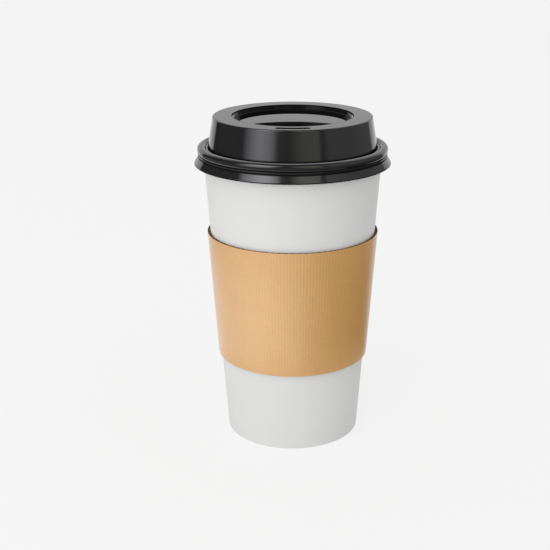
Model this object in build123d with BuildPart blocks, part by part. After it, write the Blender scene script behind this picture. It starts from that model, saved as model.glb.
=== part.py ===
from build123d import *
from math import cos, degrees, radians, sin, tan
import os

# Takeaway hot cup: paper cup, sip lid and corrugated sleeve. Millimetres, +Z up.
# The origin is the centre of the foot ring, and the sip slot faces -Y.
# Sheets are drawn by their middle line and given their thickness on both sides of it.
# Bends are drawn as plain corners, so that the surfaces stay cones, cylinders and planes.

# Paper cup
rim_radius = 45.0  # outside of the rolled rim
base_radius = 33.05  # outside of the wall where it stands
cup_height = 146.0  # top of the rolled rim
paper = 0.4  # wall board
rim_curl = 2.2  # diameter of the rolled rim
curl_flats = 5  # flats that the roll is drawn in
curl_turn = 45.0  # degrees from one flat to the next
hem_height = 6.5  # free edge of the hem above the table
seam_gap = 0.1  # sealing film on each side of the bottom's skirt
seam_width = 8.0  # lap of the wall blank at the back

# Paper bottom
base_paper = 0.35  # bottom board
base_rise = 8.5  # bottom disc above the table

# Lid
lid_sheet = 0.45  # formed plastic sheet
lid_clearance = 0.06  # neck to the rolled rim
lid_seat_gap = 0.05  # bead to the top of the rim
bead_room = 0.45  # widening of the bead over the neck
neck_drop = 4.3  # bead top to the neck
skirt_drop = 8.9  # bead top to the skirt's edge
skirt_flare = 2.0  # skirt edge beyond the neck
plug_clearance = 0.35  # moat wall to the inside of the rim
moat_depth = 3.2  # moat floor below the bead top
moat_width = 1.4
lid_rise = 13.5  # lid top above the bead
lid_draft = 9.6  # degrees, lid side wall
land_width = 9.2  # flat ring round the recess
recess_depth = 4.4
recess_lean = 0.4  # inward lean of each recess wall
ledge_drop = 2.1  # ledge below the lid top
ledge_width = 0.8
pocket_depth = 2.6  # lip pocket below the recess floor
pocket_margin = 2.8  # recess floor left in front of the pocket
pocket_bow = 1.435  # radius of the pocket's back edge, as a share of its front edge's
pocket_share = 0.262  # reach of the back edge behind the lid's axis, as the same share
pocket_turn = 0.123  # radius of the pocket's corners, as the same share
pocket_lean = 0.5  # inward lean of the pocket's wall
slot_length = 15.8  # sip slot, end to end along its arc
slot_width = 3.1
slot_inset = 4.4  # slot's centre line from the edge of the lid top
vent_diameter = 1.0
vent_inset = 3.0  # vent in front of the pocket's back edge

# Sleeve
sleeve_height = 63.5
sleeve_lift = 40.7  # lower edge above the table
sleeve_clearance = 0.15  # flute crests to the cup wall
liner = 0.4  # outer kraft liner
flute_height = 1.1  # from the crests to the liner
medium = 0.27  # fluted paper
flute_count = 64
flute_land = 0.6  # width of a crest
sleeve_lap = 12.0  # glued lap at the back
lap_board = 0.6  # pressed board at the lap's cut edge

bond = 0.1  # depth that a lap bites into the board under it
overrun = 1.0  # cutters run past the faces that they cut by this

# Cup wall: a straight cone from the foot to the first corner of the rolled rim
curl_radius = (rim_curl - paper) / 2
curl_corner = curl_radius / cos(radians(curl_turn / 2))
curl_height = cup_height - rim_curl / 2
wall_top = curl_height + curl_radius * tan(radians(curl_turn / 2))
mouth_radius = rim_radius - rim_curl + paper
wall_slope = (mouth_radius - base_radius) / wall_top
back = 90  # degrees, the side that the laps are on


def wall_radius(z):
    """Outer radius of the cup wall at height z."""
    return base_radius + wall_slope * z


def polar(radius, angle):
    """Point of a plan view at a radius and an angle in degrees."""
    return (radius * cos(radians(angle)), radius * sin(radians(angle)))


def back_sector(inner, cut_outer, thin_outer, width):
    """Plan of a strip at the back whose outside runs from one radius to another."""
    half = degrees(width / cut_outer) / 2
    with BuildSketch(mode=Mode.PRIVATE) as sector:
        with BuildLine():
            cut_edge = Line(polar(inner, back - half), polar(cut_outer, back - half))
            thin_edge = Line(polar(thin_outer, back + half), polar(inner, back + half))
            ThreePointArc(cut_edge @ 1, polar((cut_outer + thin_outer) / 2, back), thin_edge @ 0)
            ThreePointArc(thin_edge @ 1, polar(inner, back), cut_edge @ 0)
        make_face()
    return sector.sketch


# The wall blank is followed from the hem's free edge, round the foot and up to the rolled rim
hem_pitch = paper + base_paper + 2 * seam_gap
curl_centre = Vector(rim_radius - rim_curl / 2, curl_height)
curl_start = 180 - curl_turn / 2
wall_middle = base_radius - paper / 2
seam_foot = 2 * paper
seam_top = cup_height - rim_curl - paper

with BuildPart() as cup_wall:
    with BuildSketch(Plane.XZ):
        with BuildLine():
            Polyline(
                (wall_radius(hem_height) - paper / 2 - hem_pitch, hem_height),
                (wall_middle - hem_pitch, paper / 2),
                (wall_middle, paper / 2),
                *[
                    curl_centre + Vector(*polar(curl_corner, curl_start - curl_turn * flat))
                    for flat in range(curl_flats + 1)
                ],
            )
        trace(line_width=paper)
    revolve(axis=Axis.Z)
    # Lap of the wall blank: a cut edge on one side, running out to nothing on the other
    for z in (seam_foot, seam_top):
        with BuildSketch(Plane.XY.offset(z)):
            outside = wall_radius(z)
            add(back_sector(outside - bond, outside + paper, outside, seam_width))
    loft(ruled=True)
cup_wall.part.label = "cup_wall"

# Cup bottom: a pressed disc whose skirt hangs between the wall and the hem
base_middle = base_radius - paper - seam_gap - base_paper / 2
base_level = base_rise - base_paper / 2
skirt_foot = paper + seam_gap

with BuildPart() as cup_base:
    with BuildSketch(Plane.XZ):
        with BuildLine():
            Polyline(
                (0, base_level),
                (base_middle + wall_slope * base_level, base_level),
                (base_middle + wall_slope * skirt_foot, skirt_foot),
            )
        trace(line_width=base_paper)
    revolve(axis=Axis.Z)
cup_base.part.label = "cup_base"

# Lid: the sheet's middle line is set out from the rim that it snaps over
bead_level = cup_height + lid_seat_gap + lid_sheet / 2
top_level = bead_level + lid_rise
moat_level = bead_level - moat_depth
ledge_level = top_level - ledge_drop
floor_level = top_level - recess_depth
neck_level = bead_level - neck_drop
skirt_level = bead_level - skirt_drop
neck_radius = rim_radius + lid_clearance + lid_sheet / 2
bead_radius = neck_radius + bead_room
moat_outer = rim_radius - rim_curl - plug_clearance - lid_sheet / 2
wall_foot = moat_outer - moat_width
shoulder_radius = wall_foot - (top_level - moat_level) * tan(radians(lid_draft))
recess_radius = shoulder_radius - land_width
ledge_radius = recess_radius - recess_lean
floor_radius = ledge_radius - ledge_width - recess_lean
lid_top = top_level + lid_sheet / 2
recess_floor = floor_level + lid_sheet / 2
pocket_front = floor_radius - pocket_margin
pocket_back = pocket_bow * pocket_front
pocket_reach = pocket_share * pocket_front
pocket_corner = pocket_turn * pocket_front
slot_radius = shoulder_radius - slot_inset
slot_half_angle = degrees((slot_length - slot_width) / slot_radius) / 2
front = -90  # degrees, the side that the sip slot is on


def pocket_outline(inset):
    """Plan of the lip pocket: the recess floor's circle and a wider one where they overlap."""
    with BuildSketch(mode=Mode.PRIVATE) as outline:
        Circle(pocket_front - inset)
        with Locations((0, pocket_reach - pocket_back)):
            Circle(pocket_back - inset, mode=Mode.INTERSECT)
        fillet(outline.vertices(), pocket_corner - inset)
    return outline.sketch


with BuildPart() as lid:
    with BuildSketch(Plane.XZ):
        with BuildLine():
            Polyline(
                (0, floor_level),
                (floor_radius, floor_level),
                (ledge_radius - ledge_width, ledge_level),
                (ledge_radius, ledge_level),
                (recess_radius, top_level),
                (shoulder_radius, top_level),
                (wall_foot, moat_level),
                (moat_outer, moat_level),
                (moat_outer, bead_level),
                (bead_radius, bead_level),
                (neck_radius, neck_level),
                (neck_radius + skirt_flare, skirt_level),
            )
        trace(line_width=lid_sheet)
    revolve(axis=Axis.Z)
    # Lip pocket: its pan hangs from the recess floor, and is then hollowed to the sheet
    with BuildSketch(Plane.XY.offset(recess_floor)):
        add(pocket_outline(-lid_sheet))
    with BuildSketch(Plane.XY.offset(recess_floor - pocket_depth - lid_sheet)):
        add(pocket_outline(pocket_lean - lid_sheet))
    loft(ruled=True)
    with BuildSketch(Plane.XY.offset(recess_floor)):
        add(pocket_outline(0))
    with BuildSketch(Plane.XY.offset(recess_floor - pocket_depth)):
        add(pocket_outline(pocket_lean))
    loft(ruled=True, mode=Mode.SUBTRACT)
    # Sip slot through the front of the land, and the vent in the pocket
    with BuildSketch(Plane.XY.offset(lid_top)):
        with BuildLine(mode=Mode.PRIVATE):
            slot_path = CenterArc((0, 0), slot_radius, front - slot_half_angle, 2 * slot_half_angle)
        SlotArc(slot_path, slot_width)
    extrude(amount=-lid_sheet - overrun, mode=Mode.SUBTRACT)
    with BuildSketch(Plane.XY.offset(recess_floor - pocket_depth)):
        with Locations((0, pocket_reach - vent_inset)):
            Circle(vent_diameter / 2)
    extrude(amount=-lid_sheet - overrun, mode=Mode.SUBTRACT)
lid.part.label = "lid"

# Sleeve: single-face board round the cup, with the flutes' crests against the wall
sleeve_top = sleeve_lift + sleeve_height
middle_radius = wall_radius(sleeve_lift + sleeve_height / 2)
lap_angle = degrees(sleeve_lap / middle_radius)
flute_pitch = (360 - lap_angle) / flute_count
wide_angle = flute_pitch / 2 - degrees(flute_land / 2 / middle_radius)
first_flute = back + lap_angle / 2


def crest_radius(z):
    """Radius of the flutes' crests at height z."""
    return wall_radius(z) + sleeve_clearance


def liner_radius(z):
    """Inner radius of the liner at height z."""
    return crest_radius(z) + flute_height


cut_levels = (sleeve_lift - overrun, sleeve_top + overrun)

# Groove on the cup side of the fluted paper, drawn on +X
with BuildPart() as groove:
    for z in cut_levels:
        with BuildSketch(Plane.XY.offset(z)):
            with BuildLine():
                Polyline(
                    polar(crest_radius(z) - overrun, -wide_angle),
                    polar(crest_radius(z), -wide_angle),
                    polar(liner_radius(z) - medium, 0),
                    polar(crest_radius(z), wide_angle),
                    polar(crest_radius(z) - overrun, wide_angle),
                    close=True,
                )
            make_face()
    loft(ruled=True)

# Tunnel between the fluted paper and the liner, drawn on +X
with BuildPart() as tunnel:
    for z in cut_levels:
        with BuildSketch(Plane.XY.offset(z)):
            with BuildLine():
                Polyline(
                    polar(crest_radius(z) + medium, 0),
                    polar(liner_radius(z), -wide_angle),
                    polar(liner_radius(z), wide_angle),
                    close=True,
                )
            make_face()
    loft(ruled=True)

with BuildPart() as sleeve:
    with BuildSketch(Plane.XZ):
        with BuildLine():
            Polyline(
                (crest_radius(sleeve_lift), sleeve_lift),
                (liner_radius(sleeve_lift) + liner, sleeve_lift),
                (liner_radius(sleeve_top) + liner, sleeve_top),
                (crest_radius(sleeve_top), sleeve_top),
                close=True,
            )
        make_face()
    revolve(axis=Axis.Z)
    # The fluted paper stops at the lap, which clears the wall's own lap
    for z in cut_levels:
        with BuildSketch(Plane.XY.offset(z)):
            add(back_sector(crest_radius(z) - overrun, liner_radius(z), liner_radius(z), sleeve_lap))
    loft(ruled=True, mode=Mode.SUBTRACT)
    with PolarLocations(0, flute_count, first_flute + flute_pitch / 2, 360 - lap_angle):
        add(groove.part, mode=Mode.SUBTRACT)
    with PolarLocations(0, flute_count - 1, first_flute + flute_pitch, 360 - lap_angle - flute_pitch):
        add(tunnel.part, mode=Mode.SUBTRACT)
    # Glued lap outside
    for z in (sleeve_lift, sleeve_top):
        with BuildSketch(Plane.XY.offset(z)):
            outside = liner_radius(z) + liner
            add(back_sector(outside - bond, outside + lap_board, outside, sleeve_lap))
    loft(ruled=True)
sleeve.part.label = "sleeve"

os.makedirs("parts", exist_ok=True)
for piece in (cup_wall.part, cup_base.part, lid.part, sleeve.part):
    export_step(piece, f"parts/{piece.label}.step")
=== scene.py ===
import math

import bmesh
import bpy
from bpy.props import FloatProperty, FloatVectorProperty, IntProperty, PointerProperty
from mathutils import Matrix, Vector


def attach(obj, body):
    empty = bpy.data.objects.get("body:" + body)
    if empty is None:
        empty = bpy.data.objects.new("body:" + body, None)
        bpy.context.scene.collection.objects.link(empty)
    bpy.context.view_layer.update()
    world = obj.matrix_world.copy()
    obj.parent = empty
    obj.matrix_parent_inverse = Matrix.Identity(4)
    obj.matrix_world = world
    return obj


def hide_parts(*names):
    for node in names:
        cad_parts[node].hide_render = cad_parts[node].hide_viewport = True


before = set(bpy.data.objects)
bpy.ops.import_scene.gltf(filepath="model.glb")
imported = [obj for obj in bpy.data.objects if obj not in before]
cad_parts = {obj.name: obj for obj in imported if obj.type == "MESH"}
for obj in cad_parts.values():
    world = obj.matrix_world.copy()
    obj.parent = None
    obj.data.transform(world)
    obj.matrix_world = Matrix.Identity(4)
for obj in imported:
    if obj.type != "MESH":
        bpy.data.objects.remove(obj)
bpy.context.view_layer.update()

bl_info = {
    "name": "Takeaway hot cup",
    "version": (1, 0, 0),
    "blender": (4, 5, 0),
    "location": "View3D > Sidebar > Hot cup",
    "description": "Dresses the paper cup, its sip lid and its corrugated sleeve",
    "category": "Object",
}

MM = 0.001
BACK = math.radians(90)  # the side that the laps are on
FRONT = math.radians(-90)  # the side that the sip slot is on
ROUND = 192  # steps round the axis of a turned sheet
ARC_STEP = math.radians(11)  # largest turn between two points of a bend
QUARTER_TURN = [math.radians(90) * k / 6 for k in range(7)]  # a rounded edge in six steps
ON_AXIS = 1e-7  # radius in metres below which a ring is one point
OPEN, SHUT = 1.0, 0.0  # share of the room a surface sees, which sets the lid's painted shade: all of it, or none in a groove
NOISE_SPAN = {"From Min": 0.3, "From Max": 0.7}  # where most values of a noise pattern lie


def linear(code):
    """Linear RGBA of an sRGB hex colour."""
    parts = [int(code[i : i + 2], 16) / 255 for i in (0, 2, 4)]
    return tuple(c / 12.92 if c <= 0.04045 else ((c + 0.055) / 1.055) ** 2.4 for c in parts) + (1.0,)


def length(name, description, default_mm):
    """A length in metres, with its default given in millimetres."""
    return FloatProperty(
        name=name, description=description, default=default_mm * MM, unit="LENGTH", precision=5
    )


def colour(name, description, code):
    """A colour with its default given as an sRGB hex value."""
    return FloatVectorProperty(
        name=name, description=description, size=4, subtype="COLOR", min=0, max=1, default=linear(code)
    )


class CupSettings(bpy.types.PropertyGroup):
    """Sizes and colour of the paper cup."""

    rim_radius: length("Rim radius", "Outside of the rolled rim", 45.0)
    base_radius: length("Base radius", "Outside of the wall where it stands", 33.05)
    height: length("Height", "Top of the rolled rim", 145.55)
    paper: length("Wall board", "Thickness of the wall board", 0.4)
    curl: length("Rim roll", "Diameter of the rolled rim", 2.2)
    hem_height: length("Hem", "Free edge of the hem above the table", 6.5)
    hem_pitch: length("Hem pitch", "From the middle of the wall to the middle of the hem", 0.95)
    seam_width: length("Seam", "Lap of the wall blank at the back", 8.0)
    base_paper: length("Bottom board", "Thickness of the bottom disc", 0.35)
    base_rise: length("Bottom rise", "Top of the bottom disc above the table", 8.5)
    board: colour("Board", "Coated white cup board", "DADAD9")


class LidSettings(bpy.types.PropertyGroup):
    """Sizes and colour of the sip lid. Levels and radii are those of the sheet's middle."""

    sheet: length("Sheet", "Thickness of the formed sheet", 0.45)
    floor_level: length("Recess floor", "Level of the recess floor", 155.375)
    ledge_level: length("Ledge", "Level of the ledge in the recess", 157.675)
    top_level: length("Top", "Level of the lid top", 159.775)
    moat_level: length("Moat", "Level of the moat's floor", 144.0)
    bead_level: length("Bead", "Level of the bead's top", 145.825)
    lip_level: length("Bead lip", "Level of the bead's lower lip", 143.4)
    collar_level: length("Collar", "Level of the fine collar round the neck", 142.05)
    neck_level: length("Neck", "Level of the neck's foot", 141.0)
    skirt_level: length("Skirt edge", "Level of the skirt's edge", 137.475)
    floor_radius: length("Floor radius", "Edge of the recess floor", 27.7)
    ledge_inner: length("Ledge inside", "Inner edge of the ledge", 27.75)
    ledge_outer: length("Ledge outside", "Outer edge of the ledge", 28.5)
    recess_radius: length("Recess radius", "Opening of the recess in the lid top", 28.9)
    shoulder_radius: length("Shoulder radius", "Edge of the lid top", 38.0)
    wall_foot: length("Wall foot", "Lid wall where it goes down into the moat", 40.35)
    ridge_radius: length("Ridge radius", "Fine ridge beside the moat", 41.05)
    groove_radius: length("Groove radius", "Crease between the ridge and the bead", 41.7)
    bead_inner: length("Bead inside", "Inner edge of the bead's top", 42.725)
    bead_radius: length("Bead radius", "Outside of the bead", 45.6)
    neck_radius: length("Neck radius", "Waist between bead and skirt", 45.285)
    skirt_radius: length("Skirt radius", "Edge of the skirt", 47.1)
    pocket_front: length("Pocket front", "Radius of the lip pocket's front edge", 24.4)
    pocket_back: length("Pocket back", "Radius of the lip pocket's back edge", 35.01)
    pocket_reach: length("Pocket reach", "Back edge of the pocket behind the lid's axis", 6.0)
    pocket_corner: length("Pocket corner", "Corner radius of the pocket", 3.0)
    pocket_depth: length("Pocket depth", "Pocket below the recess floor", 2.6)
    pocket_lean: length("Pocket lean", "Inward lean of the pocket's wall", 0.05)
    slot_radius: length("Slot radius", "Centre line of the sip slot", 33.6)
    slot_length: length("Slot length", "Sip slot from end to end", 15.8)
    slot_width: length("Slot width", "Sip slot across", 3.1)
    vent_diameter: length("Vent", "Diameter of the vent in the pocket", 1.0)
    vent_inset: length("Vent inset", "Vent in front of the pocket's back edge", 3.0)
    plastic: colour("Plastic", "Black polystyrene sheet", "151516")


class SleeveSettings(bpy.types.PropertyGroup):
    """Sizes and colours of the corrugated sleeve."""

    height: length("Height", "From the lower edge to the upper edge", 63.05)
    lift: length("Lift", "Lower edge above the table", 40.7)
    clearance: length("Clearance", "From the cup wall to the flutes' crests", 0.1)
    flute_height: length("Flute height", "From the crests to the liner", 1.0)
    liner: length("Liner", "Thickness of the outer liner", 0.4)
    medium: length("Medium", "Thickness of the fluted paper", 0.5)
    rib_depth: length("Rib depth", "Ribs that the flutes press into the liner", 0.035)
    ribs: IntProperty(name="Ribs", description="Ribs round the liner", default=168, min=24)
    lap_flutes: IntProperty(name="Lap", description="Flutes left out at the glued lap", default=4, min=0)
    lap_board: length("Lap board", "Pressed board at the lap's cut edge", 0.6)
    kraft: colour("Liner colour", "Outer kraft liner", "CA964F")
    # Darker than the liner: partly the fluted paper's own tone, partly painted shade of the gap and the
    # cut edges
    inner: colour("Medium colour", "Fluted paper inside and cut edges", "704A2A")


class StageSettings(bpy.types.PropertyGroup):
    """Camera, backdrop and light."""

    camera_y: length("Camera Y", "Place of the camera; the cup's front is at minus Y", -509.86)
    camera_z: length("Camera Z", "Camera above the table", 252.47)
    camera_pitch: FloatProperty(
        name="Pitch", description="Downward tilt", default=math.radians(18.74), unit="ROTATION"
    )
    lens: FloatProperty(name="Lens", description="Focal length", default=70.46, unit="CAMERA")
    shift_x: FloatProperty(name="Shift", description="Sideways shift of the frame", default=-0.0321)
    backdrop: colour("Backdrop", "Pale floor and background", "F5F5F5")
    ambient: FloatProperty(name="Ambient", description="Light from all round", default=0.76)


def add_node(tree, kind, inputs=None, **settings):
    """Adds a node, sets its properties, and fills or links its inputs."""
    node = tree.nodes.new(kind)
    for key, value in settings.items():
        setattr(node, key, value)
    for key, value in (inputs or {}).items():
        if isinstance(value, bpy.types.NodeSocket):
            tree.links.new(value, node.inputs[key])
        else:
            node.inputs[key].default_value = value
    return node


def new_material(name):
    """An empty material and its node tree."""
    material = bpy.data.materials.new(name)
    material.use_nodes = True
    material.node_tree.nodes.clear()
    return material, material.node_tree


def coated_cup_board(settings):
    """White bleached board under a thin polyethylene film.

    It gives the eye a soft sheen, with the fibres just felt through it.
    """
    material, tree = new_material("coated_white_cup_board")
    place = add_node(tree, "ShaderNodeTexCoord").outputs["Object"]
    # Formation of the pulp: clouds of about 7 mm
    clouds = add_node(
        tree, "ShaderNodeTexNoise", {"Vector": place, "Scale": 1 / (7 * MM), "Detail": 3.0}
    )
    tone = add_node(
        tree,
        "ShaderNodeMapRange",
        {"Value": clouds.outputs["Fac"], **NOISE_SPAN, "To Min": 0.985, "To Max": 1.0},
    )
    base = add_node(
        tree,
        "ShaderNodeMix",
        {"Factor": tone.outputs["Result"], 6: (0.0, 0.0, 0.0, 1.0), 7: tuple(settings.board)},
        data_type="RGBA",
    )
    # Fibres under the film: about 0.5 mm, coarser than real ones, so that they show
    fibres = add_node(
        tree, "ShaderNodeTexNoise", {"Vector": place, "Scale": 1 / (0.5 * MM), "Detail": 4.0}
    )
    bump = add_node(
        tree,
        "ShaderNodeBump",
        {"Height": fibres.outputs["Fac"], "Strength": 0.25, "Distance": 0.03 * MM},
    )
    shine = add_node(
        tree,
        "ShaderNodeMapRange",
        {"Value": fibres.outputs["Fac"], **NOISE_SPAN, "To Min": 0.48, "To Max": 0.6},
    )
    shader = add_node(
        tree,
        "ShaderNodeBsdfPrincipled",
        {
            "Base Color": base.outputs[2],
            "Roughness": shine.outputs["Result"],
            "Normal": bump.outputs["Normal"],
            "IOR": 1.5,
            "Specular IOR Level": 0.3,
        },
    )
    add_node(tree, "ShaderNodeOutputMaterial", {"Surface": shader.outputs["BSDF"]})
    return material


def kraft_paper(name, paper, pressed):
    """Unbleached kraft paper: brown, with fibres that run up the sheet and a few dark flecks.

    The pressed liner has a soft sheen, and painted light and shade on its ribs: paler on their backs,
    darker between them. The fluted paper inside is dull.
    """
    material, tree = new_material(name)
    place = add_node(tree, "ShaderNodeTexCoord").outputs["Object"]
    # Formation of the pulp: clouds of about 9 mm
    clouds = add_node(
        tree, "ShaderNodeTexNoise", {"Vector": place, "Scale": 1 / (9 * MM), "Detail": 4.0}
    )
    # Fibres: 0.35 mm wide and six times as long, coarser than real ones, so that they show
    upright = add_node(tree, "ShaderNodeMapping", {"Vector": place, "Scale": (1.0, 1.0, 1 / 6)})
    fibres = add_node(
        tree,
        "ShaderNodeTexNoise",
        {"Vector": upright.outputs["Vector"], "Scale": 1 / (0.35 * MM), "Detail": 5.0},
    )
    # Flecks of bark: the darkest spots of a 0.8 mm pattern
    darkest = {"From Min": 0.26, "From Max": 0.34}
    flecks = add_node(
        tree, "ShaderNodeTexNoise", {"Vector": place, "Scale": 1 / (0.8 * MM), "Detail": 2.0}
    )
    cloud_tone = add_node(
        tree,
        "ShaderNodeMapRange",
        {"Value": clouds.outputs["Fac"], **NOISE_SPAN, "To Min": 0.98, "To Max": 1.02},
    )
    fibre_tone = add_node(
        tree,
        "ShaderNodeMapRange",
        {"Value": fibres.outputs["Fac"], **NOISE_SPAN, "To Min": 0.93, "To Max": 1.05},
    )
    dark_fleck = add_node(
        tree,
        "ShaderNodeMapRange",
        {"Value": flecks.outputs["Fac"], **darkest, "To Min": 0.82, "To Max": 1.0},
    )
    shades = [fibre_tone, dark_fleck]
    if pressed:
        # Painted light and shade: the ribs paler on their crowns, darker between them
        rib = add_node(tree, "ShaderNodeAttribute", attribute_name="rib")
        rib_shade = add_node(
            tree, "ShaderNodeMapRange", {"Value": rib.outputs["Fac"], "To Min": 0.95, "To Max": 1.03}
        )
        shades.append(rib_shade)
    tone = cloud_tone.outputs["Result"]
    for shade in shades:
        product = add_node(
            tree, "ShaderNodeMath", {0: tone, 1: shade.outputs["Result"]}, operation="MULTIPLY"
        )
        tone = product.outputs[0]
    base = add_node(
        tree, "ShaderNodeVectorMath", {0: tuple(paper)[:3], "Scale": tone}, operation="SCALE"
    )
    bump = add_node(
        tree,
        "ShaderNodeBump",
        {"Height": fibres.outputs["Fac"], "Strength": 0.35, "Distance": 0.04 * MM},
    )
    roughness, mirrored, sheen = (0.34, 0.9, 0.75) if pressed else (0.8, 0.05, 0.0)
    shader = add_node(
        tree,
        "ShaderNodeBsdfPrincipled",
        {
            "Base Color": base.outputs["Vector"],
            "Roughness": roughness,
            "Normal": bump.outputs["Normal"],
            "IOR": 1.6,
            "Specular IOR Level": mirrored,
            "Sheen Weight": sheen,
            "Sheen Roughness": 0.25,
        },
    )
    add_node(tree, "ShaderNodeOutputMaterial", {"Surface": shader.outputs["BSDF"]})
    return material


def black_polystyrene(settings):
    """Thermoformed polystyrene: black and glossy, with the faint draw waves of a formed sheet."""
    material, tree = new_material("gloss_black_polystyrene")
    place = add_node(tree, "ShaderNodeTexCoord").outputs["Object"]
    # Draw waves of about 14 mm, a few thousandths of a millimetre deep
    waves = add_node(
        tree, "ShaderNodeTexNoise", {"Vector": place, "Scale": 1 / (14 * MM), "Detail": 1.0}
    )
    bump = add_node(
        tree, "ShaderNodeBump", {"Height": waves.outputs["Fac"], "Strength": 0.2, "Distance": 0.03 * MM}
    )
    # Handling marks in patches of about 5 mm
    marks = add_node(
        tree, "ShaderNodeTexNoise", {"Vector": place, "Scale": 1 / (5 * MM), "Detail": 4.0}
    )
    shine = add_node(
        tree,
        "ShaderNodeMapRange",
        {"Value": marks.outputs["Fac"], **NOISE_SPAN, "To Min": 0.06, "To Max": 0.1},
    )
    # Painted shade: grooves and corners see little of the room, so their openness turns their reflection
    # down
    openness = add_node(tree, "ShaderNodeAttribute", attribute_name="openness")
    mirrored = add_node(tree, "ShaderNodeMapRange", {"Value": openness.outputs["Fac"], "To Max": 0.5})
    shader = add_node(
        tree,
        "ShaderNodeBsdfPrincipled",
        {
            "Base Color": tuple(settings.plastic),
            "Specular IOR Level": mirrored.outputs["Result"],
            "Roughness": shine.outputs["Result"],
            "Normal": bump.outputs["Normal"],
            "IOR": 1.59,
        },
    )
    add_node(tree, "ShaderNodeOutputMaterial", {"Surface": shader.outputs["BSDF"]})
    return material


def bent_line(corners):
    """Line in the radius-height plane through corners, with its bends drawn as arcs.

    A corner is (radius, height, bend, openness). The line comes as points, each with the openness of
    its corner, which sets the lid's painted shade: 1 under the open sky, 0 in a shut groove.
    """
    line = []
    for i, (radius, height, bend, openness) in enumerate(corners):
        corner = Vector((radius, height))
        if bend == 0:
            line.append((corner, openness))
            continue
        before = (Vector(corners[i - 1][:2]) - corner).normalized()
        after = (Vector(corners[i + 1][:2]) - corner).normalized()
        inside = before.angle(after)
        turn = math.pi - inside
        centre = corner + (before + after).normalized() * (bend / math.sin(inside / 2))
        start = corner + before * (bend / math.tan(inside / 2)) - centre
        end = corner + after * (bend / math.tan(inside / 2)) - centre
        steps = max(2, math.ceil(turn / ARC_STEP))
        for k in range(steps + 1):
            share = k / steps
            arm = start * math.sin((1 - share) * turn) + end * math.sin(share * turn)
            line.append((centre + arm / math.sin(turn), openness))
    return line


def sheet_section(line, thickness):
    """Closed section of a sheet whose middle is the line: out along one face, back along the other."""
    sides = ([], [])
    for i, point in enumerate(line):
        along = line[min(i + 1, len(line) - 1)] - line[max(i - 1, 0)]
        across = Vector((-along.y, along.x)).normalized() * (thickness / 2)
        sides[0].append(point - across)
        sides[1].append(point + across)
    return sides[0] + sides[1][::-1]


def even_angles():
    """Angles of a turned sheet's steps round the axis."""
    return [2 * math.pi * k / ROUND for k in range(ROUND)]


def ring(mesh, radius, height, angles):
    """A ring of vertices, or the one vertex that it is on the axis."""
    if radius < ON_AXIS:
        return [mesh.verts.new((0, 0, height))]
    return [mesh.verts.new((radius * math.cos(a), radius * math.sin(a), height)) for a in angles]


def bridge(mesh, lower, upper):
    """Faces between two closed rings."""
    for k in range(max(len(lower), len(upper))):
        after = k + 1
        corners = [
            lower[k % len(lower)],
            lower[after % len(lower)],
            upper[after % len(upper)],
            upper[k % len(upper)],
        ]
        corners = list(dict.fromkeys(corners))
        if len(corners) > 2:
            mesh.faces.new(corners)


def bridge_all(mesh, rings):
    """Faces between each ring and the next."""
    for lower, upper in zip(rings, rings[1:]):
        bridge(mesh, lower, upper)


def turned_sheet(mesh, line, layer):
    """Rings of a sheet turned from a line of points, with the openness for the painted shade that comes
    with each.
    """
    rings = []
    for point, openness in line:
        rings.append(ring(mesh, point.x, point.y, even_angles()))
        for vertex in rings[-1]:
            vertex[layer] = openness
    bridge_all(mesh, rings)
    return rings


def fill_between(mesh, *loops):
    """Flat faces between an outer loop and the holes in it."""
    edges = []
    for loop in loops:
        for k, vertex in enumerate(loop):
            after = loop[(k + 1) % len(loop)]
            edges.append(mesh.edges.get((vertex, after)) or mesh.edges.new((vertex, after)))
    bmesh.ops.triangle_fill(mesh, use_beauty=True, use_dissolve=False, edges=edges, normal=(0, 0, 1))


def push_out(vertex, angle, rise):
    """Moves a vertex at an angle away from the axis."""
    vertex.co.x += rise * math.cos(angle)
    vertex.co.y += rise * math.sin(angle)


def new_piece(name, mesh, material, crease=40.0):
    """Turns a bmesh into a piece at the origin, smooth but for edges sharper than crease degrees."""
    bmesh.ops.recalc_face_normals(mesh, faces=mesh.faces)
    data = bpy.data.meshes.new(name)
    mesh.to_mesh(data)
    mesh.free()
    data.shade_smooth()
    data.set_sharp_from_angle(angle=math.radians(crease))
    data.materials.append(material)
    piece = bpy.data.objects.new(name, data)
    bpy.context.scene.collection.objects.link(piece)
    return piece


def settle(piece, body, slot, *nodes):
    """Puts a finished piece on its body in place of the plain solids."""
    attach(piece, body)
    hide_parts(*nodes)


def lap_rise(angle, half, cut_rise):
    """Height of a lap over the board under it: full at its cut edge, running out on the other side."""
    share = (angle - (BACK - half)) / (2 * half)
    return cut_rise * (1 - share) if 0 <= share <= 1 else 0.0


def lap_angles(half):
    """Even angles, with a close pair at the lap's cut edge and one where it runs out."""
    cut = BACK - half
    cut_face, least_step = 0.0006, 0.004  # radians
    extra = [cut - cut_face, cut, BACK + half]
    kept = [a for a in even_angles() if min(abs(a - e) for e in extra) > least_step]
    return sorted(kept + extra)


def cup_wall_radius(cup, height):
    """Outer radius of the cup wall at a height."""
    roll = (cup.curl - cup.paper) / 2
    half_flat = math.radians(22.5)  # the solids draw the roll in flats, 45 degrees from one to the next
    top = cup.height - cup.curl / 2 + roll * math.tan(half_flat)
    mouth = cup.rim_radius - cup.curl + cup.paper
    return cup.base_radius + (mouth - cup.base_radius) * height / top


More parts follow.
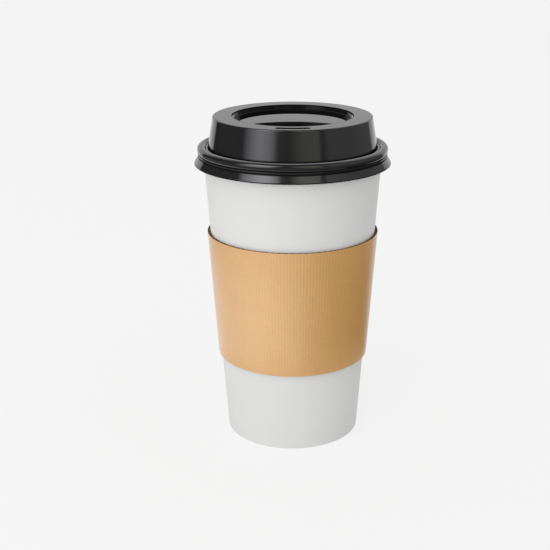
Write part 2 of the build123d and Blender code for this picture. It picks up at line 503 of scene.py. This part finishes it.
class CupWall(bpy.types.Operator):
    """Wall of the cup: one board from the hem round the foot to the rolled rim, lapped at the back."""

    bl_idname = "hot_cup.wall"
    bl_label = "Cup wall"

    def execute(self, context):
        cup = context.scene.cup
        middle = cup.base_radius - cup.paper / 2
        foot = cup.paper / 2
        fold = 0.32 * MM  # bends of the board where it is folded up into the hem
        seam_low, seam_high = 2 * cup.paper, cup.height - cup.curl - cup.paper
        hem_radius = cup_wall_radius(cup, cup.hem_height) - foot - cup.hem_pitch
        line = bent_line(
            [
                (hem_radius, cup.hem_height, 0, OPEN),
                (middle - cup.hem_pitch, foot, fold, OPEN),
                (middle, foot, fold, OPEN),
                (cup_wall_radius(cup, seam_low) - foot, seam_low, 0, OPEN),
            ]
        )
        line = [point for point, _ in line]
        rows = 9
        for k in range(1, rows + 1):
            level = seam_low + (seam_high - seam_low) * k / rows
            line.append(Vector((cup_wall_radius(cup, level) - foot, level)))
        # The roll is set in a little, so that the wall runs into it without a corner
        set_in = 0.024 * MM
        roll = (cup.curl - cup.paper) / 2
        roll_turn, roll_steps = math.radians(280), 28
        centre = Vector((cup.rim_radius - cup.curl / 2 - set_in, cup.height - cup.curl / 2))
        lean = math.atan2(cup.rim_radius - cup.curl + cup.paper - cup.base_radius, cup.height)
        for k in range(roll_steps + 1):
            angle = math.pi - lean - roll_turn * k / roll_steps
            line.append(centre + roll * Vector((math.cos(angle), math.sin(angle))))
        half = cup.seam_width / (2 * middle)
        angles = lap_angles(half)
        mesh = bmesh.new()
        section = sheet_section(line, cup.paper)
        rings = [ring(mesh, p.x, p.y, angles) for p in section]
        bridge_all(mesh, rings)
        bridge(mesh, rings[-1], rings[0])
        # The lap lies on the outer face of the straight wall
        hair = 1e-9  # metres, for rounding errors
        outer = len(line)
        for point, loop in zip(section[:outer], rings[:outer]):
            if seam_low - hair <= point.y <= seam_high + hair and point.x > middle:
                for vertex, angle in zip(loop, angles):
                    push_out(vertex, angle, lap_rise(angle, half, cup.paper))
        piece = new_piece("cup_board_wall", mesh, coated_cup_board(cup))
        settle(piece, "cup", "cup_board", "cup_wall")
        return {"FINISHED"}


class CupBase(bpy.types.Operator):
    """Bottom disc of the cup with its turned-down skirt."""

    bl_idname = "hot_cup.base"
    bl_label = "Cup bottom"

    def execute(self, context):
        cup = context.scene.cup
        film = 0.1 * MM  # sealing film between the skirt and the wall
        bend = 1.0 * MM  # from the disc down into the skirt
        level = cup.base_rise - cup.base_paper / 2
        foot = cup.paper + film
        inset = cup.paper + film + cup.base_paper / 2
        line = bent_line(
            [
                (0, level, 0, OPEN),
                (cup_wall_radius(cup, level) - inset, level, bend, OPEN),
                (cup_wall_radius(cup, foot) - inset, foot, 0, OPEN),
            ]
        )
        line = [point for point, _ in line]
        mesh = bmesh.new()
        section = sheet_section(line, cup.base_paper)
        bridge_all(mesh, [ring(mesh, max(p.x, 0), p.y, even_angles()) for p in section])
        piece = new_piece("cup_board_base", mesh, bpy.data.materials["coated_white_cup_board"])
        settle(piece, "cup", "cup_board", "cup_base")
        return {"FINISHED"}


def arc_run(centre, radius, start, stop, steps, side=1):
    """Points of an arc, each with the direction that is outwards there.

    The arc's last point is left to the next run.
    """
    run = []
    for k in range(steps):
        angle = start + (stop - start) * k / steps
        arm = Vector((math.cos(angle), math.sin(angle)))
        run.append((Vector(centre) + arm * radius, arm * side))
    return run


def pocket_outline(lid):
    """Plan of the lip pocket: front edge, back edge and the two corners between them."""
    corner_steps, back_steps, front_steps = 10, 48, 64
    back_centre = Vector((0, lid.pocket_reach - lid.pocket_back))
    near = lid.pocket_front - lid.pocket_corner
    far = lid.pocket_back - lid.pocket_corner
    y = (far**2 - near**2 - back_centre.y**2) / (-2 * back_centre.y)
    corner = Vector((math.sqrt(near**2 - y**2), y))
    mirrored = (-corner.x, corner.y)
    front_turn = math.atan2(corner.y, corner.x)
    back_turn = math.atan2(corner.y - back_centre.y, corner.x)
    front_end, back_end = math.pi - front_turn, math.pi - back_turn
    return (
        arc_run(corner, lid.pocket_corner, front_turn, back_turn, corner_steps)
        + arc_run(back_centre, lid.pocket_back, back_turn, back_end, back_steps)
        + arc_run(mirrored, lid.pocket_corner, back_end, front_end, corner_steps)
        + arc_run((0, 0), lid.pocket_front, front_end, 2 * math.pi + front_turn, front_steps)
    )


def slot_outline(lid):
    """Plan of the sip slot: two arcs about the lid's axis and round ends."""
    side_steps, end_steps = 20, 12
    half_width = lid.slot_width / 2
    half = (lid.slot_length - lid.slot_width) / lid.slot_radius / 2
    left, right = FRONT - half, FRONT + half
    ends = [lid.slot_radius * Vector((math.cos(a), math.sin(a))) for a in (left, right)]
    return (
        arc_run((0, 0), lid.slot_radius + half_width, left, right, side_steps)
        + arc_run(ends[1], half_width, right, right + math.pi, end_steps)
        + arc_run((0, 0), lid.slot_radius - half_width, right, left, side_steps, side=-1)
        + arc_run(ends[0], half_width, left + math.pi, left + 2 * math.pi, end_steps)
    )


def outline_loop(mesh, outline, outwards, height):
    """Vertices along an outline that is widened by a length."""
    return [mesh.verts.new((*(point + way * outwards), height)) for point, way in outline]


def rounded_over(mesh, outline, lip, height):
    """Loops of an edge that rounds over, by the radius lip, from a flat down into an outline."""
    return [
        outline_loop(mesh, outline, lip * (1 - math.sin(a)), height - lip * (1 - math.cos(a)))
        for a in QUARTER_TURN
    ]


def recess_line(lid, turn_in, dim):
    """Line of the recess, from the edge of its floor over the ledge to the lid top."""
    bend = 0.3 * MM  # of the ledge and of the opening
    beside = 0.1 * MM  # from the end of a bend to the next point
    dark = 0.02  # openness of the lower wall, which leaves it in painted shade
    # Painted shade in the recess: its bends are shut, its walls dim or dark
    return bent_line(
        [
            (lid.floor_radius - turn_in - beside, lid.floor_level, 0, OPEN),
            (lid.floor_radius, lid.floor_level, turn_in, SHUT),
            (lid.floor_radius, lid.floor_level + 2 * turn_in, 0, dark),
            (lid.ledge_inner, lid.ledge_level, bend, dark),
            (lid.ledge_outer, lid.ledge_level, bend, SHUT),
            (lid.ledge_outer + beside, lid.ledge_level + turn_in, 0, dim),
            (lid.recess_radius - beside, lid.top_level - turn_in, 0, dim),
            (lid.recess_radius, lid.top_level, bend, SHUT),
            (lid.recess_radius + bend + beside, lid.top_level, 0, OPEN),
        ]
    )


def outside_line(lid):
    """Line of the outside, from the edge of the lid top down to the edge of the skirt."""
    slope = (lid.wall_foot - lid.shoulder_radius) / (lid.top_level - lid.bead_level)
    dusk = lid.bead_level + 0.75 * MM  # from here down, painted shade darkens the wall towards the moat
    ridge_level = lid.bead_level - 1.025 * MM
    tight = 0.15 * MM  # bends of the moat, the ridge and the neck under the lip
    under_lip, on_collar = 0.5, 0.45  # openness under the bead's lip and on the collar, for their painted shade
    return bent_line(
        [
            # Edge of the lid top, and the wall
            (lid.shoulder_radius - 1.6 * MM, lid.top_level, 0, OPEN),
            (lid.shoulder_radius, lid.top_level, 0.55 * MM, OPEN),
            (lid.shoulder_radius + slope * (lid.top_level - dusk), dusk, 0, OPEN),
            (lid.wall_foot, lid.bead_level, 0, SHUT),
            # Moat, in painted shade, and the fine ridge between it and the bead
            (lid.wall_foot, lid.moat_level, tight, SHUT),
            (lid.ridge_radius, lid.moat_level, tight, SHUT),
            (lid.ridge_radius, ridge_level, tight, OPEN),
            # Crease, 0.2 mm deep, in painted shade
            (lid.groove_radius - 0.15 * MM, ridge_level, 0, OPEN),
            (lid.groove_radius, ridge_level - 0.2 * MM, 0.05 * MM, SHUT),
            (lid.groove_radius + 0.3 * MM, ridge_level + 0.2 * MM, 0, SHUT),
            (lid.groove_radius + 0.45 * MM, ridge_level + 0.37 * MM, 0, OPEN),
            # Bead and its lip
            (lid.bead_inner, lid.bead_level, 1.38 * MM, OPEN),
            (lid.bead_radius, lid.bead_level, 1.5 * MM, OPEN),
            (lid.bead_radius, lid.lip_level, 0.4 * MM, under_lip),
            # Neck, in painted shade, with a collar that stands out by 0.12 mm
            (lid.neck_radius, lid.lip_level - 0.35 * MM, tight, SHUT),
            (lid.neck_radius, lid.collar_level + 0.4 * MM, 0, SHUT),
            (lid.neck_radius + 0.12 * MM, lid.collar_level, 0.2 * MM, on_collar),
            (lid.neck_radius, lid.collar_level - 0.4 * MM, 0, SHUT),
            (lid.neck_radius, lid.neck_level, 0.3 * MM, SHUT),
            # Skirt, with painted shade along its edge
            (lid.neck_radius + 0.2 * MM, lid.neck_level - 0.45 * MM, 0, OPEN),
            (lid.skirt_radius - 0.06 * MM, lid.skirt_level + 0.5 * MM, 0.3 * MM, OPEN),
            (lid.skirt_radius - 0.02 * MM, lid.skirt_level + 0.3 * MM, 0, SHUT),
            (lid.skirt_radius, lid.skirt_level, 0, SHUT),
        ]
    )


class SipLid(bpy.types.Operator):
    """Lid: one formed sheet with sip slot, stepped recess, lip pocket, moat, rim bead and skirt."""

    bl_idname = "hot_cup.lid"
    bl_label = "Sip lid"

    def execute(self, context):
        lid = context.scene.lid
        mesh = bmesh.new()
        openness = mesh.verts.layers.float.new("openness")
        lip = 0.35 * MM  # rounding of the edges of slot and pocket
        turn_in = 0.5 * MM  # bend at the foot of the recess and pocket walls
        dim = 0.15  # openness of the upper recess wall and of the pocket, which leaves them in painted shade
        recess_rings = turned_sheet(mesh, recess_line(lid, turn_in, dim), openness)
        outside_rings = turned_sheet(mesh, outside_line(lid), openness)
        # Sip slot: its lip is turned down a little where the die has cut it
        slot_rings = rounded_over(mesh, slot_outline(lid), lip, lid.top_level)
        # Lip pocket: rounded over at the recess floor, and again at its own floor
        pocket = pocket_outline(lid)
        bottom = lid.floor_level - lid.pocket_depth
        pocket_rings = rounded_over(mesh, pocket, lip, lid.floor_level)
        for a in QUARTER_TURN:
            inwards = lid.pocket_lean + turn_in * (1 - math.cos(a))
            level = bottom + turn_in * (1 - math.sin(a))
            pocket_rings.append(outline_loop(mesh, pocket, -inwards, level))
        # Each rounded edge is open at the top; below that it stays shut, in painted shade
        for rings in (slot_rings, pocket_rings):
            bridge_all(mesh, rings)
            for vertex in rings[0]:
                vertex[openness] = OPEN
        vent_steps = 20
        vent_centre = (0, lid.pocket_reach - lid.vent_inset)
        vent = arc_run(vent_centre, lid.vent_diameter / 2, 0, 2 * math.pi, vent_steps)
        vent_loop = outline_loop(mesh, vent, 0, bottom)
        # Half-way round its upper edge the pocket turns dim with painted shade, and stays so down to the
        # vent
        half_way = len(QUARTER_TURN) // 2 + 1
        for loop in (*pocket_rings[half_way:], vent_loop):
            for vertex in loop:
                vertex[openness] = dim
        fill_between(mesh, recess_rings[-1], outside_rings[0], slot_rings[0])
        fill_between(mesh, recess_rings[0], pocket_rings[0])
        fill_between(mesh, pocket_rings[-1], vent_loop)
        piece = new_piece("sip_lid", mesh, black_polystyrene(lid), crease=75.0)
        wall = piece.modifiers.new("Sheet thickness", "SOLIDIFY")
        wall.thickness = lid.sheet
        wall.offset = 0.0
        wall.use_even_offset = True
        wall.use_quality_normals = True
        even = piece.modifiers.new("Even shading", "WEIGHTED_NORMAL")
        even.mode = "FACE_AREA_WITH_ANGLE"
        even.keep_sharp = True
        # Kept out of all reflections, its own too, so the recess floor has an even tone
        piece.visible_glossy = False
        settle(piece, "lid", "lid_plastic", "lid")
        return {"FINISHED"}


def round_the_axis():
    """Geometry nodes that repeat a strip of paper round the cup's axis."""
    tree = bpy.data.node_groups.new("strips_round_the_axis", "GeometryNodeTree")
    sockets = tree.interface
    for name, kind in (
        ("Strip", "NodeSocketGeometry"),
        ("Strips", "NodeSocketInt"),
        ("First angle", "NodeSocketFloat"),
        ("Angle per strip", "NodeSocketFloat"),
        ("Paper", "NodeSocketMaterial"),
    ):
        sockets.new_socket(name, in_out="INPUT", socket_type=kind)
    sockets.new_socket("Sleeve", in_out="OUTPUT", socket_type="NodeSocketGeometry")
    given = add_node(tree, "NodeGroupInput")
    points = add_node(tree, "GeometryNodePoints", {"Count": given.outputs["Strips"]})
    index = add_node(tree, "GeometryNodeInputIndex")
    turn = add_node(
        tree,
        "ShaderNodeMath",
        {0: index.outputs[0], 1: given.outputs["Angle per strip"], 2: given.outputs["First angle"]},
        operation="MULTIPLY_ADD",
    )
    about_z = add_node(tree, "ShaderNodeCombineXYZ", {"Z": turn.outputs[0]})
    rotation = add_node(tree, "FunctionNodeEulerToRotation", {0: about_z.outputs[0]})
    strips = add_node(
        tree,
        "GeometryNodeInstanceOnPoints",
        {
            "Points": points.outputs[0],
            "Instance": given.outputs["Strip"],
            "Rotation": rotation.outputs[0],
        },
    )
    real = add_node(tree, "GeometryNodeRealizeInstances", {"Geometry": strips.outputs[0]})
    painted = add_node(
        tree,
        "GeometryNodeSetMaterial",
        {"Geometry": real.outputs[0], "Material": given.outputs["Paper"]},
    )
    add_node(tree, "NodeGroupOutput", {"Sleeve": painted.outputs[0]})
    return tree


def repeated(name, strip, material, count, first, step):
    """A bmesh of one strip repeated round the axis by geometry nodes, with the joins welded."""
    weld = 0.002 * MM
    data = bpy.data.meshes.new(name)
    strip.to_mesh(data)
    strip.free()
    carrier = bpy.data.objects.new(name, data)
    bpy.context.scene.collection.objects.link(carrier)
    tree = bpy.data.node_groups.get("strips_round_the_axis") or round_the_axis()
    modifier = carrier.modifiers.new("Round the axis", "NODES")
    modifier.node_group = tree
    wanted = {"Strips": count, "First angle": first, "Angle per strip": step, "Paper": material}
    for item in tree.interface.items_tree:
        if item.in_out == "INPUT" and item.name in wanted:
            modifier[item.identifier] = wanted[item.name]
    bpy.context.view_layer.update()
    shown = carrier.evaluated_get(bpy.context.evaluated_depsgraph_get())
    made = bpy.data.meshes.new_from_object(shown)
    carrier.modifiers.remove(modifier)
    bpy.data.objects.remove(carrier)
    mesh = bmesh.new()
    mesh.from_mesh(made)
    bmesh.ops.remove_doubles(mesh, verts=mesh.verts, dist=weld)
    bpy.data.meshes.remove(made)
    return mesh


def strip_faces(mesh, columns):
    """Faces between neighbouring columns of vertices, each a closed section."""
    for near, far in zip(columns, columns[1:]):
        for k in range(len(near)):
            after = (k + 1) % len(near)
            mesh.faces.new((near[k], far[k], far[after], near[after]))


def liner_inside(cup, sleeve, height):
    """Inner radius of the sleeve's liner at a height."""
    return cup_wall_radius(cup, height) + sleeve.clearance + sleeve.flute_height


class SleeveLiner(bpy.types.Operator):
    """Outer kraft liner of the sleeve, ribbed by the flutes under it and lapped at the back."""

    bl_idname = "hot_cup.sleeve_liner"
    bl_label = "Sleeve liner"

    def execute(self, context):
        cup, sleeve = context.scene.cup, context.scene.sleeve
        pitch = 2 * math.pi / sleeve.ribs
        samples = 8  # columns in a rib
        soft = 0.1 * MM  # bevel of the outer edges
        low, high = sleeve.lift, sleeve.lift + sleeve.height
        strip = bmesh.new()
        rib = strip.verts.layers.float.new("rib")
        columns = []
        for j in range(samples + 1):
            angle = pitch * j / samples
            crown = 0.5 + 0.5 * math.cos(2 * math.pi * j / samples)
            column = []
            # Round the section; the two points with no bevel are on the inner face
            for height, bevel in (
                (low, None),
                (low, soft),
                (low + soft, 0),
                (high - soft, 0),
                (high, soft),
                (high, None),
            ):
                radius = liner_inside(cup, sleeve, height)
                if bevel is not None:
                    radius = radius + sleeve.liner - bevel - sleeve.rib_depth * (1 - crown)
                vertex = strip.verts.new((radius * math.cos(angle), radius * math.sin(angle), height))
                # The rib attribute also carries the painted light and shade of the ribs
                vertex[rib] = crown
                column.append(vertex)
            columns.append(column)
        strip_faces(strip, columns)
        paper = kraft_paper("kraft_liner_paper", sleeve.kraft, True)
        mesh = repeated("sleeve_liner", strip, paper, sleeve.ribs, 0.0, pitch)
        # Glued lap at the back, over the blank's other end
        half = sleeve.lap_flutes * pitch
        for vertex in mesh.verts:
            radius = math.hypot(vertex.co.x, vertex.co.y)
            if radius > liner_inside(cup, sleeve, vertex.co.z) + sleeve.liner / 2:
                angle = math.atan2(vertex.co.y, vertex.co.x)
                push_out(vertex, angle, lap_rise(angle, half, sleeve.lap_board))
        # The cut edges and the inner face take the inside's darker tone, which is partly painted shade
        for face in mesh.faces:
            middle = face.calc_center_median()
            radius = math.hypot(middle.x, middle.y)
            inside = liner_inside(cup, sleeve, middle.z)
            face.material_index = int(radius < inside + sleeve.liner - sleeve.rib_depth - soft)
        piece = new_piece("sleeve_liner", mesh, paper)
        piece.data.materials.append(kraft_paper("kraft_inner_paper", sleeve.inner, False))
        settle(piece, "sleeve", "kraft", "sleeve")
        return {"FINISHED"}


class SleeveFlutes(bpy.types.Operator):
    """Fluted paper glued inside the liner, with its crests against the cup."""

    bl_idname = "hot_cup.sleeve_flutes"
    bl_label = "Sleeve flutes"

    def execute(self, context):
        cup, sleeve = context.scene.cup, context.scene.sleeve
        pitch = 4 * math.pi / sleeve.ribs  # a flute is two ribs wide
        count = sleeve.ribs // 2 - sleeve.lap_flutes
        samples = 14  # columns in a flute
        inset = 0.05 * MM  # from the liner's edges
        half = sleeve.medium / 2
        swing = (sleeve.flute_height - sleeve.medium) / 2
        levels = (sleeve.lift + inset, sleeve.lift + sleeve.height - inset)
        strip = bmesh.new()
        columns = []
        for j in range(samples + 1):
            angle = pitch * j / samples
            turn = 2 * math.pi * j / samples
            column = []
            for face in (-1, 1):
                for height in levels[::face]:
                    middle = cup_wall_radius(cup, height) + sleeve.clearance + sleeve.flute_height / 2
                    slope = math.atan2(swing * 2 * math.pi * math.sin(turn), pitch * middle)
                    radius = middle - swing * math.cos(turn) + face * half * math.cos(slope)
                    way = angle - face * half * math.sin(slope) / middle
                    spot = (radius * math.cos(way), radius * math.sin(way), height)
                    column.append(strip.verts.new(spot))
            columns.append(column)
        strip_faces(strip, columns)
        # The inner paper, whose darker tone is partly painted shade of the gap
        paper = bpy.data.materials["kraft_inner_paper"]
        first = BACK + sleeve.lap_flutes * pitch / 2
        mesh = repeated("sleeve_flutes", strip, paper, count, first, pitch)
        bmesh.ops.holes_fill(mesh, edges=[e for e in mesh.edges if e.is_boundary], sides=4)
        piece = new_piece("sleeve_flutes", mesh, paper)
        settle(piece, "sleeve", "kraft", "sleeve")
        return {"FINISHED"}


def direction(azimuth):
    """Level unit vector; azimuth is in degrees from the camera's side, positive to the right."""
    turn = math.radians(azimuth)
    return Vector((math.sin(turn), -math.cos(turn), 0))


def soft_panel(name, azimuth, distance, height, side, radiance):
    """Square panel of soft light that faces the cup. Its reflection is left to the cards."""
    half_way_up = Vector((0, 0, 0.08))
    light = bpy.data.lights.new(name, "AREA")
    light.size = side
    light.energy = radiance * math.pi * side**2
    lamp = bpy.data.objects.new(name, light)
    lamp.location = direction(azimuth) * distance + Vector((0, 0, height))
    aim = half_way_up - lamp.location
    lamp.rotation_euler = aim.to_track_quat("-Z", "Y").to_euler()
    lamp.visible_camera = False
    lamp.visible_glossy = False
    bpy.context.scene.collection.objects.link(lamp)


PALE, COOL, WARM = "FFFFFF", "FAFAFF", "FFFFF2"
# From the back round by the left: azimuth below and above in degrees, colour, and strength on the
# near floor, on the far floor, low on the card and high on it
CARD_STOPS = (
    # Pale room behind the cup
    (-180, -180, PALE, 1.0, 1.0, 0.7, 0.7),
    (-160, -160, PALE, 1.0, 1.0, 0.7, 0.7),
    (-150, -150, PALE, 1.0, 1.0, 0.9, 0.9),
    (-134, -134, PALE, 1.0, 1.0, 0.85, 0.9),
    (-132, -132, PALE, 1.4, 0.3, 0.05, 0.1),
    (-110, -110, PALE, 1.4, 0.4, 0.13, 0.15),
    (-85, -85, PALE, 1.8, 0.4, 0.19, 0.2),
    # Large soft light on the left
    (-69, -78, COOL, 2.1, 0.4, 0.2, 0.2),
    (-60, -71, COOL, 2.3, 0.4, 1.0, 3.4),
    (-50, -54, COOL, 2.5, 0.4, 1.85, 5.5),
    (-44, -46, COOL, 2.5, 0.4, 2.0, 6.4),
    (-38, -35, COOL, 2.5, 0.4, 1.75, 6.7),
    (-30, -28, COOL, 2.4, 0.4, 1.5, 5.0),
    (-26, -19, PALE, 2.3, 0.4, 1.1, 2.9),
    (-20, -11, PALE, 2.2, 0.4, 0.27, 0.4),
    (-5, -4, PALE, 1.9, 0.4, 0.2, 0.3),
    # Smaller warm light on the right
    (3, 1, WARM, 1.7, 0.4, 0.3, 0.9),
    (16, 10, WARM, 1.0, 0.35, 0.48, 1.7),
    (34, 39, WARM, 0.5, 0.3, 0.56, 1.6),
    (39, 42, PALE, 0.4, 0.3, 0.2, 0.4),
    (43, 45, PALE, 0.3, 0.3, 0.2, 0.4),
    (50, 50, PALE, 0.15, 0.3, 0.43, 1.0),
    (90, 90, PALE, 0.0, 0.2, 0.42, 0.5),
    (110, 110, PALE, 0.0, 0.15, 0.35, 0.5),
    (132, 132, PALE, 0.1, 0.15, 0.22, 0.6),
    # Pale room again
    (134, 134, PALE, 1.0, 1.0, 0.85, 0.9),
    (150, 150, PALE, 1.0, 1.0, 0.9, 0.9),
    (160, 160, PALE, 1.0, 1.0, 0.7, 0.7),
    (180, 180, PALE, 1.0, 1.0, 0.7, 0.7),
)


def reflection_cards():
    """Cards, floor and ceiling that only reflections see, softly joined from stop to stop."""
    paint, tree = new_material("reflection_cards")
    tone = add_node(tree, "ShaderNodeAttribute", attribute_name="tone")
    glow = add_node(tree, "ShaderNodeEmission", {"Color": tone.outputs["Color"]})
    add_node(tree, "ShaderNodeOutputMaterial", {"Surface": glow.outputs[0]})
    mesh = bmesh.new()
    layer = mesh.verts.layers.float_color.new("tone")
    white = Vector((1, 1, 1, 1))
    ceiling = 0.2  # strength overhead
    spacing = 5  # degrees from one column to the next
    # Metres: floor's inner edge, end of its near part, start of its far part, cards, hole overhead
    floor_edge, near_end, far_start, card_ring, hole = 0.10, 0.26, 0.34, 1.40, 0.02
    floor_level, card_foot, card_top, ceiling_level = 0.002, 0.003, 2.400, 2.401
    columns = []
    for start, stop in zip(CARD_STOPS, CARD_STOPS[1:]):
        steps = max(1, round((stop[0] - start[0]) / spacing))
        for k in range(steps):
            share = k / steps
            tint = Vector(linear(start[2])).lerp(Vector(linear(stop[2])), share)
            low, high, near, far, below, above = (
                start[i] + (stop[i] - start[i]) * share for i in (0, 1, 3, 4, 5, 6)
            )
            column = []
            for azimuth, distance, height, light in (
                (low, floor_edge, floor_level, white * near),
                (low, near_end, floor_level, white * near),
                (low, far_start, floor_level, white * far),
                (low, card_ring, floor_level, white * far),
                (low, card_ring, card_foot, tint * below),
                (high, card_ring, card_top, tint * above),
                (high, card_ring, ceiling_level, white * ceiling),
                (high, hole, ceiling_level, white * ceiling),
            ):
                vertex = mesh.verts.new(direction(azimuth) * distance + Vector((0, 0, height)))
                vertex[layer] = light
                column.append(vertex)
            columns.append(column)
    for near, far in zip(columns, columns[1:] + columns[:1]):
        for k in range(len(near) - 1):
            mesh.faces.new((near[k], far[k], far[k + 1], near[k + 1]))
    cards = new_piece("reflection_cards", mesh, paint)
    cards.visible_camera = False
    cards.visible_diffuse = False
    cards.visible_shadow = False


def seen_directly(tree):
    """1 for what the eye, a mirror or glass sees, 0 for the light that falls on the object."""
    path = add_node(tree, "ShaderNodeLightPath")
    seen = path.outputs["Is Camera Ray"]
    for kind in ("Is Glossy Ray", "Is Transmission Ray"):
        either = add_node(tree, "ShaderNodeMath", {0: seen, 1: path.outputs[kind]}, operation="MAXIMUM")
        seen = either.outputs[0]
    return seen


def pale_world(stage):
    """Pale all round to the eye and in reflections, and an even soft light on the object."""
    world = bpy.data.worlds.new("pale_studio")
    world.use_nodes = True
    tree = world.node_tree
    tree.nodes.clear()
    around = add_node(tree, "ShaderNodeBackground", {"Color": (1, 1, 1, 1), "Strength": stage.ambient})
    pale = add_node(tree, "ShaderNodeBackground", {"Color": tuple(stage.backdrop), "Strength": 1.0})
    mixed = add_node(
        tree, "ShaderNodeMixShader", {0: seen_directly(tree), 1: around.outputs[0], 2: pale.outputs[0]}
    )
    add_node(tree, "ShaderNodeOutputWorld", {"Surface": mixed.outputs[0]})
    return world


def pale_floor(stage):
    """Floor: mostly its own pale tone to the eye, with a part that takes the cup's shadow."""
    reach = 6.0  # metres from the cup to each side
    matt_grey = (0.88, 0.88, 0.88, 1)  # of the floor that throws light up on the cup
    shadow_grey = (0.2, 0.2, 0.2, 1)  # of the part that takes the shadow
    own_tone = 0.81  # strength of the rest
    paint, tree = new_material("pale_floor")
    matt = add_node(tree, "ShaderNodeBsdfDiffuse", {"Color": matt_grey})
    catch = add_node(tree, "ShaderNodeBsdfDiffuse", {"Color": shadow_grey})
    glow = add_node(tree, "ShaderNodeEmission", {"Color": tuple(stage.backdrop), "Strength": own_tone})
    shown = add_node(tree, "ShaderNodeAddShader", {0: catch.outputs[0], 1: glow.outputs[0]})
    mixed = add_node(
        tree, "ShaderNodeMixShader", {0: seen_directly(tree), 1: matt.outputs[0], 2: shown.outputs[0]}
    )
    add_node(tree, "ShaderNodeOutputMaterial", {"Surface": mixed.outputs[0]})
    mesh = bmesh.new()
    bmesh.ops.create_grid(mesh, x_segments=1, y_segments=1, size=reach)
    new_piece("floor", mesh, paint)


class Stage(bpy.types.Operator):
    """Pale floor and background, soft studio light and the camera."""

    bl_idname = "hot_cup.stage"
    bl_label = "Stage"

    def execute(self, context):
        scene = context.scene
        stage = scene.stage
        scene.view_settings.view_transform = "Standard"
        scene.world = pale_world(stage)
        pale_floor(stage)
        soft_panel("key_panel", azimuth=-32, distance=1.5, height=1.6, side=1.8, radiance=0.62)
        soft_panel("low_fill", azimuth=-35, distance=2.1, height=0.35, side=1.4, radiance=2.2)
        reflection_cards()

        camera = bpy.data.cameras.new("camera")
        camera.lens = stage.lens
        camera.sensor_width = 36.0
        camera.shift_x = stage.shift_x
        view = bpy.data.objects.new("camera", camera)
        view.location = (0, stage.camera_y, stage.camera_z)
        view.rotation_euler = (math.radians(90) - stage.camera_pitch, 0, 0)
        scene.collection.objects.link(view)
        scene.camera = view
        return {"FINISHED"}


class HotCupPanel(bpy.types.Panel):
    """Sidebar panel with the pieces of the hot cup."""

    bl_idname = "VIEW3D_PT_hot_cup"
    bl_label = "Hot cup"
    bl_space_type = "VIEW_3D"
    bl_region_type = "UI"
    bl_category = "Hot cup"

    def draw(self, context):
        for operator in OPERATORS:
            self.layout.operator(operator.bl_idname)


SETTINGS = {"cup": CupSettings, "lid": LidSettings, "sleeve": SleeveSettings, "stage": StageSettings}
OPERATORS = (CupWall, CupBase, SipLid, SleeveLiner, SleeveFlutes, Stage)


def register():
    """Registers the settings, the operators and the panel."""
    for group in (*SETTINGS.values(), *OPERATORS, HotCupPanel):
        bpy.utils.register_class(group)
    for name, group in SETTINGS.items():
        setattr(bpy.types.Scene, name, PointerProperty(type=group))


def unregister():
    """Takes them away again."""
    for name in SETTINGS:
        delattr(bpy.types.Scene, name)
    for group in (HotCupPanel, *reversed(OPERATORS), *SETTINGS.values()):
        bpy.utils.unregister_class(group)


def main():
    """Makes every piece and the stage."""
    register()
    bpy.ops.hot_cup.wall()
    bpy.ops.hot_cup.base()
    bpy.ops.hot_cup.lid()
    bpy.ops.hot_cup.sleeve_liner()
    bpy.ops.hot_cup.sleeve_flutes()
    bpy.ops.hot_cup.stage()


if __name__ == "__main__":
    main()
